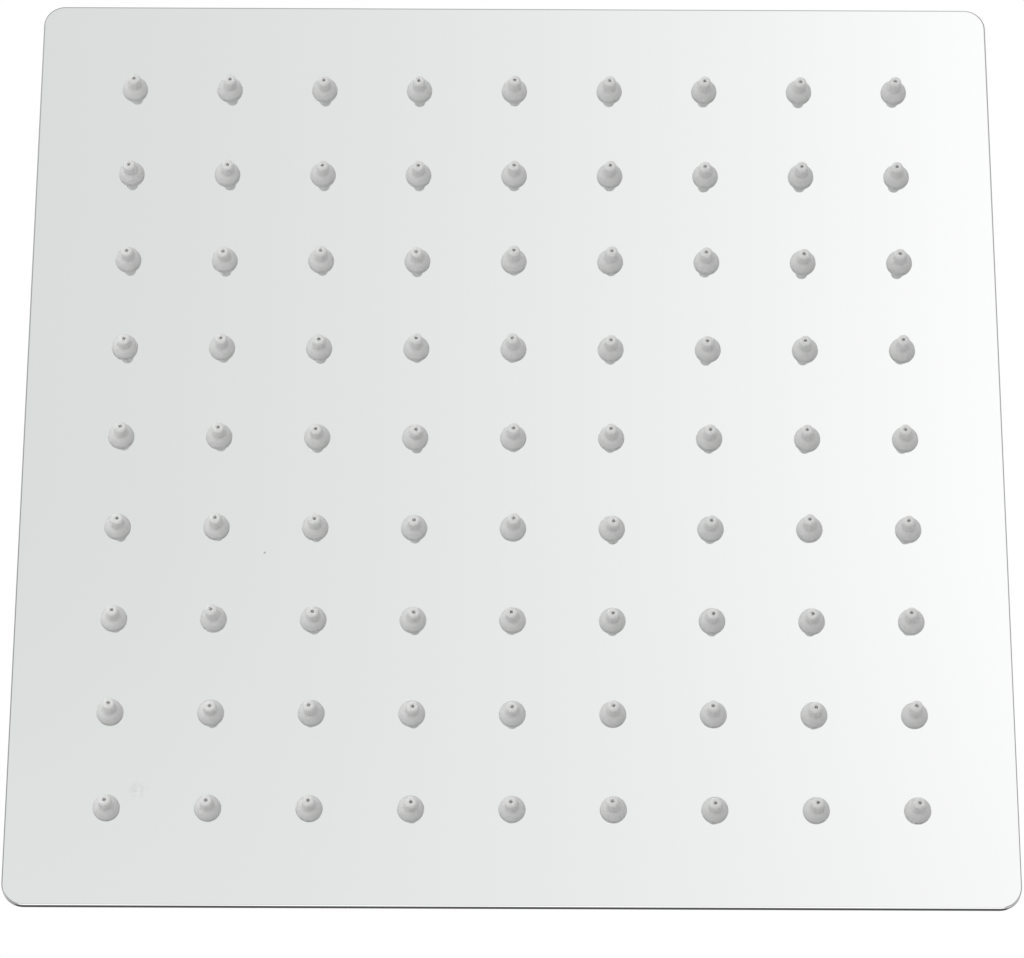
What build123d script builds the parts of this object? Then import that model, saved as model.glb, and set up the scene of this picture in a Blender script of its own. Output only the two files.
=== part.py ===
from build123d import *
import os
from math import atan2, cos, degrees, hypot, pi, radians, sin, tan

# A square, ultra-thin rain shower head on a ball joint, in millimetres. The origin is the middle of the
# inlet's mouth, +Z runs up out of the inlet, and the spray face looks down.

# Spray plate: two steel sheets, welded together round a flat rim
PLATE_SIZE = 200.0
PLATE_CORNER_R = 4.5
SHEET_T = 1.0
EDGE_R = 0.4  # polished round along both outer edges
RIM_W = 10.0
SLOPE_RUN = 5.0  # level run of the slope pressed into the back sheet
STEP_CORNER_R = 15.0  # corner of that slope at its foot
BEND_R = 2.0  # outside bend at the top of the slope
CHAMBER_H = 4.0  # water space between the two sheets

# Nozzles: soft grains pushed into the face sheet, few-sided because there are so many of them
NOZZLE_PITCH = 20.0
NOZZLE_SIDES = 8
NOZZLE_COLLAR_R = 2.7
NOZZLE_RIM_H = 0.8
NOZZLE_RIM_TAPER = 0.15
NOZZLE_DOME_H = 1.3
NOZZLE_TIP_H = 2.9
NOZZLE_TIP_R = 1.25
NOZZLE_TIP_TAPER = 0.2
NECK_SIDES = 6  # the hidden neck, its hole and the outlet
NOZZLE_NECK_R = 2.0
NOZZLE_GRIP = 0.6  # length of neck past the inside of the sheet
NOZZLE_OUTLET_R = 0.4
HOLE_CLEARANCE = 0.05

# Inlet socket: a 1/2 inch pipe thread, bored to its crests
INLET_BORE_R = 9.3155
THREAD_LENGTH = 11.0
RELIEF_DEPTH = 1.2  # run-out groove below the thread, past its roots
RELIEF_LENGTH = 3.0
SOCKET_WALL = 1.5
SOCKET_FLOOR_T = 3.0
HEX_CORNER_CUT = 0.2  # how far the nut's chamfers reach inside its flats
HEX_CHAMFER_DEG = 30.0

# Washer and screen in the bottom of the socket
WASHER_CLEARANCE = 0.15
WASHER_T = 2.4
WASHER_BORE_R = 6.0
SCREEN_LEDGE = 1.2  # width of the step that carries the screen
SCREEN_T = 0.5
SCREEN_CLEARANCE = 0.05

# Ball joint
WATERWAY_R = 4.0
NECK_WALL = 1.5
NECK_LENGTH = 13.0  # underside of the socket to the ball's centre
SHOULDER_W = 4.0
SHOULDER_H = 2.5
BALL_R = 10.0
BALL_CLEARANCE = 0.1
RING_SEAT_DEG = 17.0  # where the slip ring's cone meets the ball, above its equator
RING_H = 4.0
SEAL_SEAT_DEG = 40.0  # where the seal's cone meets the ball, below its equator
SEAL_H = 4.4
SEAL_WALL = 1.2  # thinnest wall, at the cone's wide end
SWIVEL_CLEARANCE = 0.1

# Boss on the back sheet, and the nut that screws onto it
BOSS_WALL = 1.8
BOSS_GAP = 2.0  # room left under the slip ring for tightening
BOSS_BORE_MARGIN = 2.0  # room for the waterway when the head is tilted
BOSS_STEP = 0.6  # depth of the nut's seat below the seal's
SPIGOT_WALL = 6.0
SPIGOT_CLEARANCE = 0.05
FLANGE_T = 2.5
FLANGE_MARGIN = 3.0
SCREW_CLEARANCE = 0.1
COLLAR_WALL = 4.0
COLLAR_LIP_T = 2.5
COLLAR_CHAMFER = 1.8
EDGE_BREAK = 0.4  # small chamfer on the other turned edges that show
FLUTE_COUNT = 18
FLUTE_DEPTH = 0.6
FLUTE_HALF_W = 0.9

# Radii that follow from the sizes above
SEAT_R = BALL_R + BALL_CLEARANCE
NECK_R = WATERWAY_R + NECK_WALL
RELIEF_R = INLET_BORE_R + RELIEF_DEPTH
HEX_FLAT_R = RELIEF_R + SOCKET_WALL
HEX_CORNER_R = HEX_FLAT_R / cos(radians(30))
RING_SEAT = radians(RING_SEAT_DEG)
SEAL_SEAT = radians(SEAL_SEAT_DEG)
SEAL_CONE_R = SEAT_R * cos(SEAL_SEAT) + SEAL_H / 2 * tan(SEAL_SEAT)
SEAL_BORE_R = SEAL_CONE_R - SEAL_H * tan(SEAL_SEAT)
SEAL_R = SEAL_CONE_R + SEAL_WALL
BOSS_BORE_R = WATERWAY_R + BOSS_BORE_MARGIN
POCKET_R = SEAL_R + SWIVEL_CLEARANCE
BOSS_R = POCKET_R + BOSS_WALL
COLLAR_BORE_R = BOSS_R + SCREW_CLEARANCE
RING_R = COLLAR_BORE_R - SWIVEL_CLEARANCE
RING_LOW_R = SEAT_R * cos(RING_SEAT) + RING_H / 2 * tan(RING_SEAT)
RING_TOP_R = RING_LOW_R - RING_H * tan(RING_SEAT)
COLLAR_R = COLLAR_BORE_R + COLLAR_WALL
FLANGE_R = COLLAR_R + FLANGE_MARGIN
SPIGOT_R = BOSS_BORE_R + SPIGOT_WALL

# Levels, from the inlet's mouth down to the spray face
Z_SEAT = -(THREAD_LENGTH + RELIEF_LENGTH)
Z_SOCKET = Z_SEAT - SOCKET_FLOOR_T
Z_BALL = Z_SOCKET - NECK_LENGTH
Z_RING_LOW = Z_BALL + SEAT_R * sin(RING_SEAT) - RING_H / 2
Z_RING_TOP = Z_RING_LOW + RING_H
Z_LEDGE = Z_RING_TOP + SWIVEL_CLEARANCE
Z_COLLAR_TOP = Z_LEDGE + COLLAR_LIP_T
Z_BOSS_TOP = Z_RING_LOW - BOSS_GAP
Z_SEAL_TOP = Z_BALL - SEAT_R * sin(SEAL_SEAT) + SEAL_H / 2
Z_SEAL_LOW = Z_SEAL_TOP - SEAL_H
Z_POCKET = Z_SEAL_LOW - SWIVEL_CLEARANCE
Z_FLANGE_TOP = Z_POCKET - BOSS_STEP
Z_BACK_TOP = Z_FLANGE_TOP - FLANGE_T
Z_BACK_UNDER = Z_BACK_TOP - SHEET_T
Z_FACE_TOP = Z_BACK_UNDER - CHAMBER_H
Z_RIM_TOP = Z_FACE_TOP + SHEET_T
Z_FACE = Z_FACE_TOP - SHEET_T

# The nozzles fill the flat top of the pressed chamber
FIELD_MARGIN = RIM_W + SLOPE_RUN + NOZZLE_COLLAR_R
NOZZLES_A_SIDE = int((PLATE_SIZE - 2 * FIELD_MARGIN) / NOZZLE_PITCH) + 1
NOZZLE_PLACES = [(i - (NOZZLES_A_SIDE - 1) / 2) * NOZZLE_PITCH for i in range(NOZZLES_A_SIDE)]


def turned(*points):
    """A lathe-turned solid from the (radius, height) corners of its section."""
    return revolve(Plane.XZ * make_face(Polyline(*points, close=True)), Axis.Z)


def tube(inner_r, outer_r, low, high):
    return turned((inner_r, low), (outer_r, low), (outer_r, high), (inner_r, high))


def rounded_square(half, corner_r, z):
    return Pos(0, 0, z) * RectangleRounded(2 * half, 2 * half, corner_r)


def few_sided_taper(low_r, high_r, low, high):
    """A nozzle's taper from one corner radius to another, between two heights."""
    drop = (low_r - high_r) * cos(pi / NOZZLE_SIDES)
    section = Pos(0, 0, low) * RegularPolygon(low_r, NOZZLE_SIDES)
    return extrude(section, high - low, taper=degrees(atan2(drop, high - low)))


def face_plate():
    sheet = extrude(rounded_square(PLATE_SIZE / 2, PLATE_CORNER_R, Z_FACE), SHEET_T)
    sheet = fillet(sheet.faces().sort_by(Axis.Z)[0].edges(), EDGE_R)
    hole = extrude(RegularPolygon(NOZZLE_NECK_R + HOLE_CLEARANCE, NECK_SIDES), SHEET_T)
    return sheet - [Pos(x, y, Z_FACE) * hole for x in NOZZLE_PLACES for y in NOZZLE_PLACES]


def pressed_step(inset, low, high):
    """The raised middle of the back sheet: a square with sloping sides, drawn in by inset."""
    foot_half = PLATE_SIZE / 2 - RIM_W - inset
    foot = rounded_square(foot_half, STEP_CORNER_R - inset, low)
    top = rounded_square(foot_half - SLOPE_RUN, STEP_CORNER_R - inset - SLOPE_RUN, high)
    return loft([foot, top], ruled=True)


def back_plate():
    rim = extrude(rounded_square(PLATE_SIZE / 2, PLATE_CORNER_R, Z_FACE_TOP), SHEET_T)
    rim = fillet(rim.faces().sort_by(Axis.Z)[-1].edges(), EDGE_R)
    step = pressed_step(0, Z_RIM_TOP, Z_BACK_TOP)
    step = fillet(step.faces().sort_by(Axis.Z)[-1].edges(), BEND_R)
    # the same slope, one sheet thickness further in
    inset = SHEET_T * (hypot(SLOPE_RUN, CHAMBER_H) - SLOPE_RUN) / CHAMBER_H
    chamber = pressed_step(inset, Z_FACE_TOP, Z_BACK_UNDER)
    boss_hole = tube(0, SPIGOT_R + SPIGOT_CLEARANCE, Z_BACK_UNDER, Z_BACK_TOP)
    return rim + step - chamber - boss_hole


def nozzle():
    """One grain, with the face sheet's outside at height 0 and its tip pointing up."""
    rim_r = NOZZLE_COLLAR_R - NOZZLE_RIM_TAPER
    dome_z = NOZZLE_RIM_H + NOZZLE_DOME_H
    tip_z = dome_z + NOZZLE_TIP_H
    foot_z = -SHEET_T - NOZZLE_GRIP
    collar = few_sided_taper(NOZZLE_COLLAR_R, rim_r, 0, NOZZLE_RIM_H)
    dome = few_sided_taper(rim_r, NOZZLE_TIP_R + NOZZLE_TIP_TAPER, NOZZLE_RIM_H, dome_z)
    tip = few_sided_taper(NOZZLE_TIP_R + NOZZLE_TIP_TAPER, NOZZLE_TIP_R, dome_z, tip_z)
    neck = extrude(Pos(0, 0, foot_z) * RegularPolygon(NOZZLE_NECK_R, NECK_SIDES), -foot_z)
    outlet = extrude(Pos(0, 0, foot_z) * RegularPolygon(NOZZLE_OUTLET_R, NECK_SIDES), tip_z - foot_z)
    return neck + collar + dome + tip - outlet


def nozzle_row(grain, y):
    tip_down = Rot(180, 0, 0)
    return Compound(children=[Pos(x, y, Z_FACE) * tip_down * grain for x in NOZZLE_PLACES])


def inlet_boss():
    return turned(
        (BOSS_BORE_R, Z_BACK_UNDER),
        (SPIGOT_R, Z_BACK_UNDER),
        (SPIGOT_R, Z_BACK_TOP),
        (FLANGE_R, Z_BACK_TOP),
        (FLANGE_R, Z_FLANGE_TOP - EDGE_BREAK),
        (FLANGE_R - EDGE_BREAK, Z_FLANGE_TOP),
        (BOSS_R, Z_FLANGE_TOP),
        (BOSS_R, Z_BOSS_TOP),
        (POCKET_R, Z_BOSS_TOP),
        (POCKET_R, Z_POCKET),
        (BOSS_BORE_R, Z_POCKET),
    )


def ball_seal():
    return turned(
        (SEAL_BORE_R, Z_SEAL_LOW),
        (SEAL_R, Z_SEAL_LOW),
        (SEAL_R, Z_SEAL_TOP),
        (SEAL_CONE_R, Z_SEAL_TOP),
    )


def slip_ring():
    return turned(
        (RING_LOW_R, Z_RING_LOW),
        (RING_R, Z_RING_LOW),
        (RING_R, Z_RING_TOP),
        (RING_TOP_R, Z_RING_TOP),
    )


def collar_nut():
    ring = turned(
        (COLLAR_BORE_R, Z_FLANGE_TOP),
        (COLLAR_R - EDGE_BREAK, Z_FLANGE_TOP),
        (COLLAR_R, Z_FLANGE_TOP + EDGE_BREAK),
        (COLLAR_R, Z_COLLAR_TOP - COLLAR_CHAMFER),
        (COLLAR_R - COLLAR_CHAMFER, Z_COLLAR_TOP),
        (RING_TOP_R + EDGE_BREAK, Z_COLLAR_TOP),
        (RING_TOP_R, Z_COLLAR_TOP - EDGE_BREAK),
        (RING_TOP_R, Z_LEDGE),
        (COLLAR_BORE_R, Z_LEDGE),
    )
    groove = make_face(
        Polyline(
            (COLLAR_R - FLUTE_DEPTH, 0),
            (COLLAR_R + FLUTE_DEPTH, -2 * FLUTE_HALF_W),
            (COLLAR_R + FLUTE_DEPTH, 2 * FLUTE_HALF_W),
            close=True,
        )
    )
    flute = Pos(0, 0, Z_FLANGE_TOP) * extrude(groove, Z_COLLAR_TOP - Z_FLANGE_TOP)
    return ring - [Rot(0, 0, 360 * i / FLUTE_COUNT) * flute for i in range(FLUTE_COUNT)]


def ball_stem():
    hexagon = RegularPolygon(HEX_FLAT_R, 6, major_radius=False)
    nut_r = HEX_FLAT_R - HEX_CORNER_CUT
    chamfer_h = (HEX_CORNER_R - nut_r) * tan(radians(HEX_CHAMFER_DEG))
    nut = extrude(Pos(0, 0, Z_SOCKET) * hexagon, -Z_SOCKET) & turned(
        (0, Z_SOCKET),
        (nut_r, Z_SOCKET),
        (HEX_CORNER_R, Z_SOCKET + chamfer_h),
        (HEX_CORNER_R, -chamfer_h),
        (nut_r, 0),
        (0, 0),
    )
    neck = turned(
        (0, Z_SOCKET),
        (NECK_R + SHOULDER_W, Z_SOCKET),
        (NECK_R, Z_SOCKET - SHOULDER_H),
        (NECK_R, Z_BALL),
        (0, Z_BALL),
    )
    waterway = turned(
        (0, Z_BALL - BALL_R),
        (WATERWAY_R, Z_BALL - BALL_R),
        (WATERWAY_R, Z_SEAT),
        (RELIEF_R, Z_SEAT),
        (RELIEF_R, Z_SEAT + RELIEF_LENGTH),
        (INLET_BORE_R, Z_SEAT + RELIEF_LENGTH),
        (INLET_BORE_R, 0),
        (0, 0),
    )
    return nut + neck + Pos(0, 0, Z_BALL) * Sphere(BALL_R) - waterway


def inlet_washer():
    ledge_z = Z_SEAT + WASHER_T - SCREEN_T
    washer_r = INLET_BORE_R - WASHER_CLEARANCE
    return turned(
        (WASHER_BORE_R, Z_SEAT),
        (washer_r, Z_SEAT),
        (washer_r, Z_SEAT + WASHER_T),
        (WASHER_BORE_R + SCREEN_LEDGE, Z_SEAT + WASHER_T),
        (WASHER_BORE_R + SCREEN_LEDGE, ledge_z),
        (WASHER_BORE_R, ledge_z),
    )


def filter_screen():
    screen_r = WASHER_BORE_R + SCREEN_LEDGE - SCREEN_CLEARANCE
    return tube(0, screen_r, Z_SEAT + WASHER_T - SCREEN_T, Z_SEAT + WASHER_T)


def all_pieces():
    pieces = {
        "face_plate": face_plate(),
        "back_plate": back_plate(),
        "inlet_boss": inlet_boss(),
        "ball_seal": ball_seal(),
        "ball_stem": ball_stem(),
        "slip_ring": slip_ring(),
        "collar_nut": collar_nut(),
        "inlet_washer": inlet_washer(),
        "filter_screen": filter_screen(),
    }
    grain = nozzle()
    for number, y in enumerate(NOZZLE_PLACES, 1):
        pieces[f"nozzle_row_{number}"] = nozzle_row(grain, y)
    return pieces


os.makedirs("parts", exist_ok=True)
for name, piece in all_pieces().items():
    export_step(piece, f"parts/{name}.step")
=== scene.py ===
import math

import bmesh
import bpy
from mathutils import Matrix, Vector


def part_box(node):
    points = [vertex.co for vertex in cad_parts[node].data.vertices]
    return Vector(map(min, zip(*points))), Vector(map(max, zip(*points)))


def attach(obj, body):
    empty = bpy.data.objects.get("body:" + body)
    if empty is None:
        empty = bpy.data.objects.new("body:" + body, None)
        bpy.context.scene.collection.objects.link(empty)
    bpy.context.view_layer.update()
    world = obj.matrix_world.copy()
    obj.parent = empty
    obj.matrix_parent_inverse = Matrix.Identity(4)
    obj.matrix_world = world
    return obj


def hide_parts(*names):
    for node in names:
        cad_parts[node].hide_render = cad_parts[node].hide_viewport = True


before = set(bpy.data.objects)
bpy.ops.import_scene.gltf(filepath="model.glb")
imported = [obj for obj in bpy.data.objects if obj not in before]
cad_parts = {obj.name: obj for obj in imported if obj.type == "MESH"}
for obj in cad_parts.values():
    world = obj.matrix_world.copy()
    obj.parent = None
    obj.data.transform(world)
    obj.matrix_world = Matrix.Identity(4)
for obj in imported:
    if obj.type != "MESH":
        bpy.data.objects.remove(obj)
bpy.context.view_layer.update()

MM = 0.001
SAME_POINT = 1e-7  # points this close are one
SHARP_DEGREES = 32.0  # a steeper edge between two faces stays sharp
WHITE = (1.0, 1.0, 1.0, 1.0)

# Camera: where it stands, measured from the middle of the spray face
IMAGE_WIDTH = 1024
FOCAL_PIXELS = 4519.4
SENSOR_WIDTH = 36.0
CLIP_END = 50.0
CAMERA_PLACE = Vector((1.75, -372.15, -844.23)) * MM
CAMERA_AIM = Vector((0.22, -9.08, 0.0)) * MM
CAMERA_UP = Vector((0.0041, 0.9186, -0.3951))

# Floor: round and pale, fading to white between two radii
FLOOR_DROP = 2.1
FLOOR_RADIUS = 4.0
FLOOR_SIDES = 96
FLOOR_COLOUR = (0.88, 0.88, 0.87, 1.0)
FLOOR_ROUGHNESS = 0.9
FLOOR_FADE = (0.55 * FLOOR_RADIUS, 0.95 * FLOOR_RADIUS)

# The floor's light, as metal sees it: it grows from side to side, and faster further back
GLOW_MIDDLE = 0.862
GLOW_SLOPE = (0.088, 0.132)
GLOW_SLOPE_PLACES = (0.5, 0.9)
GLOW_CURVE = 0.037
GLOW_HALF_WIDTH = 0.33
GLOW_ENDS = (-1.4, 1.15)
GLOW_POOL = (2.3, 1.4)
GLOW_TINT = (0.975, 1.0, 0.99, 1.0)

# Room: its plain light on the object, and how much more of it comes from the back than from the front
ROOM_LIGHT = 0.82
ROOM_SLOPE = 0.36

# The room's greys, as metal sees them from straight below to straight above
ROOM_GREYS = (
    (0.30, 0.40),
    (0.43, 0.16),
    (0.56, 0.18),
    (0.64, 0.84),
    (0.84, 0.90),
    (0.94, 0.46),
    (1.00, 0.42),
)

# Soft light and dark panels round the room, low down and on a slant
PANELS = 7
PANEL_SLANT = 9.0
PANEL_TURN = 0.6
PANEL_GREYS = (0.22, 0.68)
PANEL_TOP = (-0.12, -0.36)

# Shade on the walls that lie across the bright direction
BRIGHT_SIDE = (0.8, 0.6)
SHADE_SIDES = (0.55, 0.05)
SHADE_HIGH = (-0.1, 0.2)
SHADE_DEPTH = 0.45
SHADE_GREY = 0.12

# A dark patch overhead; each pair runs from where it starts to where it is whole
PATCH_HIGH = (0.80, 0.88)
PATCH_FRONT = (-0.10, -0.20)
PATCH_SIDES = (0.36, 0.24)
PATCH_GREY = 0.09

# A white card in front, with pairs of the same kind
CARD_SIDES = (0.46, 0.26)
CARD_FRONT = (0.0, -0.2)
CARD_LOW = (-0.62, -0.45)
CARD_HIGH = (0.30, 0.12)
CARD_LIGHT = 1.35

# Lamps: name, place, size and power
LAMPS = (
    ("key_lamp", (0.9, 1.7, -1.1), 1.1, 8.0),
    ("side_lamp", (0.24, -0.06, -0.27), 0.3, 0.32),
    ("back_lamp", (0.9, -1.2, 1.5), 1.2, 34.0),
)

# Spray face and nozzles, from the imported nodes
NOZZLE_ROWS = sorted(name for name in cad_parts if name.startswith("nozzle_row_"))
NOZZLES_A_SIDE = len(NOZZLE_ROWS)
FACE_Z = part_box("face_plate")[0].z
PLATE_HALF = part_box("face_plate")[1].x
FIRST_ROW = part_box(NOZZLE_ROWS[0])
NOZZLE_HEIGHT = FACE_Z - FIRST_ROW[0].z
NOZZLE_ROOT = FIRST_ROW[1].z - FACE_Z
COLLAR_R = (FIRST_ROW[1].y - FIRST_ROW[0].y) / 2
NOZZLE_PITCH = (FIRST_ROW[1].x - FIRST_ROW[0].x - 2 * COLLAR_R) / (NOZZLES_A_SIDE - 1)

# Nozzle form, with heights down from the face
NOZZLE_SIDES = 24
NOZZLE_SHARP_DEGREES = 50.0
OUTLET_R = 0.34 * MM
OUTLET_DEPTH = 0.6 * MM
OUTLET_FILLET = 0.12 * MM
TIP_R = 1.25 * MM
TIP_FILLET = 0.55 * MM
TIP_FOOT_R = 1.33 * MM
TIP_FOOT_H = 2.2 * MM
TIP_FOOT_FILLET = 0.35 * MM
DOME_R = 2.05 * MM
DOME_H = 1.75 * MM
DOME_FILLET = 1.2 * MM
RIM_H = 0.8 * MM
RIM_TAPER = 0.12 * MM
RIM_FILLET = 0.28 * MM
NECK_R = 1.75 * MM
SHEET_T = 1.0 * MM
GRIP_R = 2.3 * MM
GRIP_TAPER = 0.2 * MM
TIP_LEAN = 0.32 * MM
LEAN_SEED = 7
TIP_GLOW_HEIGHTS = (FACE_Z - 1.8 * MM, FACE_Z - 3.4 * MM)  # painted light: between these heights the silicone is painted paler, for the light that shines through its thin tip

# Marks on the spray face, and the polished edge of the sheets
SMUDGE_PLACE = (73.9 * MM, -76.2 * MM)
SMUDGE_R = 2.6 * MM
SPECK_PLACE = (50.1 * MM, -25.5 * MM)
SPECK_R = 0.35 * MM
POLISHED_EDGE = (PLATE_HALF - 0.7 * MM, PLATE_HALF - 0.3 * MM)

# Ball stem: hexagonal socket, neck and ball
STEM_SIDES = 96
MOUTH_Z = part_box("ball_stem")[1].z
HEX_CORNER_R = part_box("ball_stem")[1].x
HEX_HALF_ANGLE = math.radians(30)
HEX_FLAT_R = HEX_CORNER_R * math.cos(HEX_HALF_ANGLE)
HEX_FACE_R = HEX_FLAT_R - 0.2 * MM
HEX_CHAMFER = math.tan(math.radians(30))
SOCKET_Z = MOUTH_Z - 17.0 * MM
SEAT_Z = MOUTH_Z - 14.0 * MM
SHOULDER_R = 9.5 * MM
SHOULDER_Z = SOCKET_Z - 2.5 * MM
SHOULDER_FILLET = 0.3 * MM
STEM_NECK_R = 5.5 * MM
STEM_NECK_FILLET = 1.6 * MM
WATERWAY_R = 4.0 * MM
BALL_R = 10.0 * MM
BALL_Z = SOCKET_Z - 13.0 * MM
BALL_STEPS = 30

# Inlet thread, a 1/2 inch pipe thread in bare brass
THREAD_PITCH = 25.4 / 14 * MM
THREAD_CREST_R = 9.3155 * MM
THREAD_ROOT_R = 10.4775 * MM
THREAD_END_Z = MOUTH_Z - 11.0 * MM
THREAD_ROWS = 12
THREAD_ROOT_SHARE = 0.15
THREAD_FLANK_SHARE = 0.70
LEAD_IN_R = 10.55 * MM
RELIEF_R = 10.5155 * MM
RUN_OUT_SLOPE = 1.5
BRASS_R = (10.70 * MM, 10.60 * MM)
BRASS_Z = (SEAT_Z + 0.1 * MM, SEAT_Z + 0.4 * MM)

# Collar nut, with the columns of points across each flute in degrees from its middle
COLLAR_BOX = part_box("collar_nut")
NUT_R = COLLAR_BOX[1].x
NUT_BORE_R = NUT_R - 4.0 * MM
NUT_CHAMFER = 1.8 * MM
NUT_EDGE = 0.4 * MM
NUT_LIP_T = 2.5 * MM
NUT_MOUTH_R = 9.05 * MM
FLUTES = 18
FLUTE_DEPTH = 0.6 * MM
FLUTE_HALF_ANGLE = math.radians(3.4)
FLUTE_COLUMNS = (-10.0, -7.0, -4.4, -3.4, -2.6, -1.8, -0.9, 0.0, 0.9, 1.8, 2.6, 3.4, 4.4, 7.0)

# Boss under the collar nut, and its weld
BOSS_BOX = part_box("inlet_boss")
BOSS_SIDES = 128
FLANGE_R = BOSS_BOX[1].x
FLANGE_TOP = COLLAR_BOX[0].z
FLANGE_FILLET = 0.5 * MM
BACK_TOP = FLANGE_TOP - 2.5 * MM
BOSS_LOW = BOSS_BOX[0].z
BOSS_TOP = BOSS_BOX[1].z
BOSS_R = NUT_BORE_R - 0.1 * MM
BOSS_FILLET = 0.3 * MM
BOSS_BORE_R = 6.0 * MM
SPIGOT_R = 12.0 * MM
POCKET_R = BOSS_R - 1.8 * MM
POCKET_Z = FLANGE_TOP + 0.6 * MM
WELD_RIPPLES = 210
RIPPLE_SIZE = (0.95 * MM, 0.95 * MM, 0.62 * MM)
RIPPLE_LEAST = (0.92, 0.96, 0.92)
RIPPLE_MOST = (1.06, 1.04, 1.06)
RIPPLE_SEGMENTS = 10
RIPPLE_RINGS = 5
WELD_SEED = 3

# Filter screen: woven wire in a pressed rim
SCREEN_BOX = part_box("filter_screen")
SCREEN_R = SCREEN_BOX[1].x
SCREEN_LOW = SCREEN_BOX[0].z
SCREEN_HIGH = SCREEN_BOX[1].z
SCREEN_RIM_W = 1.0 * MM
SCREEN_RIM_FILLET = 0.12 * MM
WIRE_R = 0.13 * MM
WIRES = 18
WIRE_POINTS = 73
WIRE_SIDES = 6

# Tones between which each finish varies
TONES = {
    "polished steel": ((0.925, 0.937, 0.930, 1.0), (0.940, 0.948, 0.943, 1.0)),
    "satin steel": ((0.80, 0.81, 0.81, 1.0), (0.90, 0.91, 0.905, 1.0)),
    "chrome": ((0.80, 0.82, 0.84, 1.0), (0.86, 0.87, 0.88, 1.0)),
    "brass": ((0.62, 0.45, 0.18, 1.0), (0.78, 0.60, 0.28, 1.0)),
    "nylon": ((0.80, 0.79, 0.75, 1.0), (0.86, 0.85, 0.81, 1.0)),
    "rubber": ((0.018, 0.018, 0.019, 1.0), (0.035, 0.035, 0.036, 1.0)),
    "wire": ((0.55, 0.56, 0.57, 1.0), (0.70, 0.71, 0.71, 1.0)),
    "weld": ((0.66, 0.65, 0.63, 1.0), (0.74, 0.69, 0.60, 1.0)),
    "silicone": ((0.53, 0.535, 0.53, 1.0), (0.60, 0.605, 0.60, 1.0)),
}
# Painted light: the tips' paler tone stands in for light shining through the thin silicone
TIP_GLOW_TONE = (0.59, 0.595, 0.59, 1.0)
SMUDGE_TONE = (0.70, 0.71, 0.72, 1.0)
SPECK_TONE = (0.30, 0.30, 0.30, 1.0)


class Value:
    """A socket that carries a number, so that node maths reads as Python."""

    def __init__(self, nodes, socket):
        self.nodes = nodes
        self.socket = socket

    def __add__(self, other):
        return self.nodes.math("ADD", self, other)

    def __sub__(self, other):
        return self.nodes.math("SUBTRACT", self, other)

    def __rsub__(self, other):
        return self.nodes.math("SUBTRACT", other, self)

    def __mul__(self, other):
        return self.nodes.math("MULTIPLY", self, other)

    def __truediv__(self, other):
        return self.nodes.math("DIVIDE", self, other)

    def __rtruediv__(self, other):
        return self.nodes.math("DIVIDE", other, self)

    __radd__ = __add__
    __rmul__ = __mul__


class Nodes:
    """One node tree: add() makes any node, and the other methods name the ones used most."""

    def __init__(self, tree):
        self.tree = tree

    def add(self, kind, settings=None, inputs=None):
        node = self.tree.nodes.new(kind)
        for name, value in (settings or {}).items():
            if name == "stops":
                self.set_stops(node.color_ramp, value)
            else:
                setattr(node, name, value)
        for key, value in (inputs or {}).items():
            self.feed(self.input_of(node, key), value)
        return node

    def input_of(self, node, key):
        """A node's input by its number, its identifier or its label."""
        if isinstance(key, int):
            return node.inputs[key]
        for socket in node.inputs:
            if socket.identifier == key:
                return socket
        return node.inputs[key]

    def feed(self, socket, value):
        """Links a value to a socket, or sets a plain number, colour or vector on it."""
        if isinstance(value, Value):
            value = value.socket
        if isinstance(value, bpy.types.NodeSocket):
            self.tree.links.new(value, socket)
        else:
            socket.default_value = value

    def set_stops(self, ramp, stops):
        while len(ramp.elements) < len(stops):
            ramp.elements.new(1.0)
        for element, (place, colour) in zip(ramp.elements, stops):
            element.position = place
            element.color = colour

    def value(self, node, name=0):
        return Value(self, node.outputs[name])

    def math(self, operation, first, second=0.0):
        return self.value(self.add("ShaderNodeMath", {"operation": operation}, {0: first, 1: second}))

    def step(self, value, low, high):
        """0 below low, 1 above high, smooth between; low above high turns it round."""
        inputs = {"Value": value, "From Min": low, "From Max": high}
        return self.value(self.add("ShaderNodeMapRange", {"interpolation_type": "SMOOTHSTEP"}, inputs))

    def axes(self, vector):
        parts = self.add("ShaderNodeSeparateXYZ", inputs={0: vector})
        return [self.value(parts, name) for name in "XYZ"]

    def mix(self, share, first, second):
        """A colour between two colours."""
        inputs = {"Factor_Float": share, "A_Color": first, "B_Color": second}
        return self.add("ShaderNodeMix", {"data_type": "RGBA"}, inputs).outputs[2]

    def grey(self, level):
        """A grey of a level that varies."""
        return self.add("ShaderNodeCombineColor", inputs={0: level, 1: level, 2: level}).outputs[0]


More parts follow.
